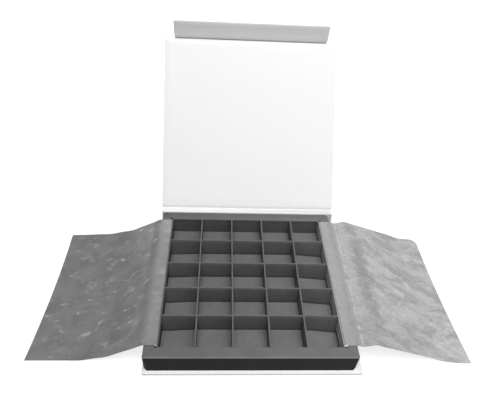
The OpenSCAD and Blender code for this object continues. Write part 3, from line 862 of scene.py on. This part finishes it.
for sheet, k, name, s0, s1, edge, first, second, nodes in sections:
    material, slot = (LEFT_SUEDE, "left_sheet") if sheet is LEFT else (RIGHT_SUEDE, "right_sheet")
    part = sheet_section(name, sheet, k, s0, s1, edge, material, slot)
    start, end = sheet.ends(k)
    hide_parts(*nodes)
    sheet.row(start)
    sheet.row(end)
    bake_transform(part)

# The glued part of each sheet, down the inside of the side wall
for side, name, material in ((-1, "left", LEFT_SUEDE), (1, "right", RIGHT_SUEDE)):
    wall_x = TRAY_X + side * (INNER_W / 2 - 0.2)
    fold_at = TRAY_X + side * FOLD_X
    tab_path = rounded([(wall_x, RIM_Z - TAB_H), (wall_x, FOLD_Z - 0.9), (fold_at + side * 0.4, FOLD_Z),
                        (fold_at + side * 1.4, FOLD_Z)], 0.8)
    section = paper_section(tab_path, TAB_T)
    y0, y1 = SHEET_FRONT + 0.2, SHEET_BACK - 0.2
    rings = [[(x, y0 + (y1 - y0) * i / TAB_CUTS, z) for x, z in section] for i in range(TAB_CUTS + 1)]
    points, faces = stacked(rings)
    uv = [((p[2] - FOLD_Z) * MM, p[1] * MM) for p in points]
    tab = piece(f"{name}_sheet_glue_tab", points, faces, material, f"{name}_sheet", uv=uv)
    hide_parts(f"{name}_sheet_tab")
    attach(tab, "case_and_tray")

# Small curled white pieces at the front notches: steps out, to the front and up from the fold's end
STRIP_END = ((-0.5, -0.8, -0.6), (-0.3, 0.7, -0.5), (0.5, -0.9, 0.25), (0.8, 1.0, 0.2), (1.6, -0.8, 0.3),
             (2.0, 0.3, 0.25))
for side, name, size in ((-1, "left", 0.6), (1, "right", 1.0)):
    strip = [(TRAY_X + side * (FOLD_X + out * size), SHEET_FRONT - 0.1 - ahead * size, FOLD_Z + rise)
             for out, ahead, rise in STRIP_END]
    end = piece(f"{name}_notch_white_piece", strip, [[0, 1, 3, 2], [2, 3, 5, 4]], WHITE, "white_paper", angle=80)
    thicken(end, STRIP_T)
    curl = end.modifiers.new("curl", "SUBSURF")
    curl.levels = curl.render_levels = 2
    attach(end, "case_and_tray")

# Card nodes keep their shape and get softer edges
for name, node in frame["nodes"].items():
    if "long_slat" in name or "_wall" in name or "side_card" in name:
        weld = node.modifiers.new("weld", "WELD")
        weld.merge_threshold = 0.00001
        soften(node)


# Floor, light and camera

def seen_directly(tree):
    """One for the camera's rays, also by way of a glossy or clear surface, and nothing for all the others."""
    rays = add_node(tree, "ShaderNodeLightPath").outputs
    seen = rays["Is Camera Ray"]
    for kind in ("Is Glossy Ray", "Is Transmission Ray"):
        seen = add_node(tree, "ShaderNodeMath", {0: seen, 1: rays[kind]}, operation="MAXIMUM").outputs[0]
    return seen


GROUND_REACH = 3
floor_mesh = bpy.data.meshes.new("ground")
floor_mesh.from_pydata([(x * GROUND_REACH, y * GROUND_REACH, 0) for x, y in ((-1, -1), (1, -1), (1, 1), (-1, 1))],
                       [], [[0, 1, 2, 3]])
ground = bpy.data.objects.new("ground", floor_mesh)
bpy.context.scene.collection.objects.link(ground)

# The ground looks white, with soft shadows, and sends back less light than it shows
paint = bpy.data.materials.new("ground")
paint.use_nodes = True
tree = paint.node_tree
tree.nodes.clear()
plain = add_node(tree, "ShaderNodeBsdfDiffuse", {"Color": grey(0.32)})
shown = add_node(tree, "ShaderNodeBsdfDiffuse", {"Color": grey(0.3)})
glow = add_node(tree, "ShaderNodeEmission", {"Strength": 0.8})
both = add_node(tree, "ShaderNodeAddShader", {0: shown.outputs[0], 1: glow.outputs[0]})
choose = add_node(tree, "ShaderNodeMixShader", {0: seen_directly(tree), 1: plain.outputs[0], 2: both.outputs[0]})
add_node(tree, "ShaderNodeOutputMaterial", {"Surface": choose.outputs[0]})
ground.data.materials.append(paint)

# The background is white, and lights the object much less
world = bpy.data.worlds.new("studio")
bpy.context.scene.world = world
world.use_nodes = True
tree = world.node_tree
tree.nodes.clear()
level = add_node(tree, "ShaderNodeMapRange", {"Value": seen_directly(tree), "To Min": 0.20, "To Max": 1.0})
sky = add_node(tree, "ShaderNodeBackground", {"Color": grey(1), "Strength": level.outputs["Result"]})
add_node(tree, "ShaderNodeOutputWorld", {"Surface": sky.outputs[0]})


def lamp(name, place, size, power, aim=(0, 0, 0.01)):
    """A soft rectangular lamp, its size in metres and its power in watts, turned to the aim."""
    data = bpy.data.lights.new(name, "AREA")
    data.shape = "RECTANGLE"
    data.size, data.size_y = size
    data.energy = power
    obj = bpy.data.objects.new(name, data)
    bpy.context.scene.collection.objects.link(obj)
    obj.location = place
    obj.rotation_euler = (Vector(aim) - Vector(place)).to_track_quat("-Z", "Y").to_euler()
    obj.visible_camera = False


lamp("key", (-0.08, -0.75, 2.6), (1.3, 1.3), 44)
lamp("side", (0.30, -0.20, 0.95), (0.4, 0.5), 2.6)
lamp("low_front", (0.50, -0.75, 0.30), (0.4, 0.4), 1.3, (0, 0.1, 0.08))
lamp("back", (0.30, 0.90, 0.85), (1.2, 0.7), 2.5)
lamp("low_back", (0.0, 1.05, 0.24), (0.5, 0.3), 3.5, (0, 0.14, 0.09))

# The camera that was fitted to the slats' crossings: place in metres, angles in degrees, lens and sensor in mm
CAMERA_PLACE = (-0.0312, -0.32865, 0.3855)
CAMERA_AZIMUTH, CAMERA_ELEVATION, CAMERA_ROLL = -4.41, 39.27, 3.86
CAMERA_LENS, CAMERA_SENSOR = 36.09, 36

azimuth, elevation, roll = (math.radians(a) for a in (CAMERA_AZIMUTH, CAMERA_ELEVATION, CAMERA_ROLL))
back_way = Vector((math.sin(azimuth) * math.cos(elevation), -math.cos(azimuth) * math.cos(elevation),
                   math.sin(elevation)))
right_way = Vector((math.cos(azimuth), math.sin(azimuth), 0))
up_way = back_way.cross(right_way)
right_rolled = math.cos(roll) * right_way + math.sin(roll) * up_way
up_rolled = -math.sin(roll) * right_way + math.cos(roll) * up_way
camera_data = bpy.data.cameras.new("camera")
camera_data.sensor_width = CAMERA_SENSOR
camera_data.lens = CAMERA_LENS
camera = bpy.data.objects.new("camera", camera_data)
bpy.context.scene.collection.objects.link(camera)
camera_turn = Matrix((right_rolled, up_rolled, back_way)).transposed().to_quaternion()
camera.matrix_world = Matrix.LocRotScale(Vector(CAMERA_PLACE), camera_turn, None)
bpy.context.scene.camera = camera
bpy.context.scene.view_settings.view_transform = "Standard"
